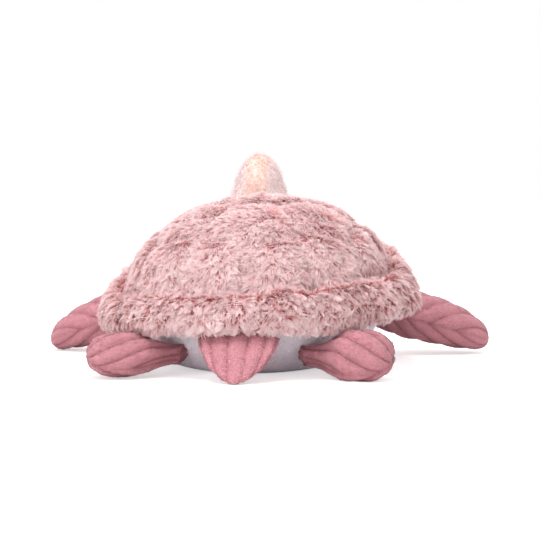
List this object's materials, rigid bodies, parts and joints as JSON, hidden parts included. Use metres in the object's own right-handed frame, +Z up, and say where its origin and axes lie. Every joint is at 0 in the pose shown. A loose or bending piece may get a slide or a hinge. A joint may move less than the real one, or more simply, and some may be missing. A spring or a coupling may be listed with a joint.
{
  "type": "plush toy",
  "caption": "Stuffed sea turtle toy with a long-pile domed shell in a rolled brim, ribbed velour flippers and tail, and a raised fuzzy head on a curved neck.",
  "frame": {"origin": "middle of the flat patch that the belly rests on", "axes": "+Z up, -Y towards the head, +X towards the turtle's left"},
  "size_m": [0.4638, 0.4812, 0.2069],
  "materials": {
    "long_pile_plush": "matte",
    "short_pile_plush": "matte",
    "ribbed_velour": "matte",
    "fuzzy_plush": "matte",
    "peach_plush": "matte",
    "polyester_filling": "matte",
    "black_acrylic": "gloss",
    "white_nylon": "matte"
  },
  "bodies": {
    "body": {"shell_dome": "long_pile_plush", "belly_panel": "short_pile_plush", "body_stuffing": "polyester_filling", "shell_brim": "long_pile_plush", "brim_stuffing": "polyester_filling"},
    "front_left_flipper": {"front_left_flipper_top": "ribbed_velour", "front_left_flipper_bottom": "ribbed_velour", "front_left_flipper_stuffing": "polyester_filling"},
    "front_right_flipper": {"front_right_flipper_top": "ribbed_velour", "front_right_flipper_bottom": "ribbed_velour", "front_right_flipper_stuffing": "polyester_filling"},
    "rear_left_flipper": {"rear_left_flipper_top": "ribbed_velour", "rear_left_flipper_bottom": "ribbed_velour", "rear_left_flipper_stuffing": "polyester_filling"},
    "rear_right_flipper": {"rear_right_flipper_top": "ribbed_velour", "rear_right_flipper_bottom": "ribbed_velour", "rear_right_flipper_stuffing": "polyester_filling"},
    "tail": {"tail_top": "ribbed_velour", "tail_bottom": "ribbed_velour", "tail_stuffing": "polyester_filling"},
    "neck": {"neck_cover": "fuzzy_plush", "neck_stuffing": "polyester_filling"},
    "head": {"head_left": "fuzzy_plush", "head_right": "fuzzy_plush", "head_gusset": "peach_plush", "head_stuffing": "polyester_filling", "left_eye": "black_acrylic", "right_eye": "black_acrylic", "left_eye_washer": "white_nylon", "right_eye_washer": "white_nylon"}
  },
  "joints": [
    {"name": "front_left_flipper_sweep", "type": "hinge", "parent": "body", "child": "front_left_flipper", "pos_m": [0.08838, -0.1192, 0.049], "axis": [0, 0, 1], "range_deg": [-25, 28], "stiffness_Nm_per_rad": 0.12},
    {"name": "front_right_flipper_sweep", "type": "hinge", "parent": "body", "child": "front_right_flipper", "pos_m": [-0.08688, -0.11738, 0.04782], "axis": [0, 0, -1], "range_deg": [-25, 28], "stiffness_Nm_per_rad": 0.12},
    {"name": "rear_left_flipper_sweep", "type": "hinge", "parent": "body", "child": "rear_left_flipper", "pos_m": [0.06262, 0.12603, 0.02067], "axis": [0, 0, 1], "range_deg": [-15, 20], "stiffness_Nm_per_rad": 0.06},
    {"name": "rear_right_flipper_sweep", "type": "hinge", "parent": "body", "child": "rear_right_flipper", "pos_m": [-0.06114, 0.12348, 0.0198], "axis": [0, 0, -1], "range_deg": [-15, 20], "stiffness_Nm_per_rad": 0.06},
    {"name": "tail_wag", "type": "hinge", "parent": "body", "child": "tail", "pos_m": [-0.00012, 0.15323, 0.04329], "axis": [0, 0, 1], "range_deg": [-20, 20], "stiffness_Nm_per_rad": 0.05},
    {"name": "neck_nod", "type": "hinge", "parent": "body", "child": "neck", "pos_m": [-0.00032, -0.16376, 0.03663], "axis": [1, 0, 0], "range_deg": [-6, 22], "stiffness_Nm_per_rad": 1.2, "springref_deg": -0.86},
    {"name": "head_turn", "type": "hinge", "parent": "neck", "child": "head", "pos_m": [0.02168, -0.23576, 0.162], "axis": [0, 0, 1], "range_deg": [-20, 20], "stiffness_Nm_per_rad": 0.2}
  ]
}
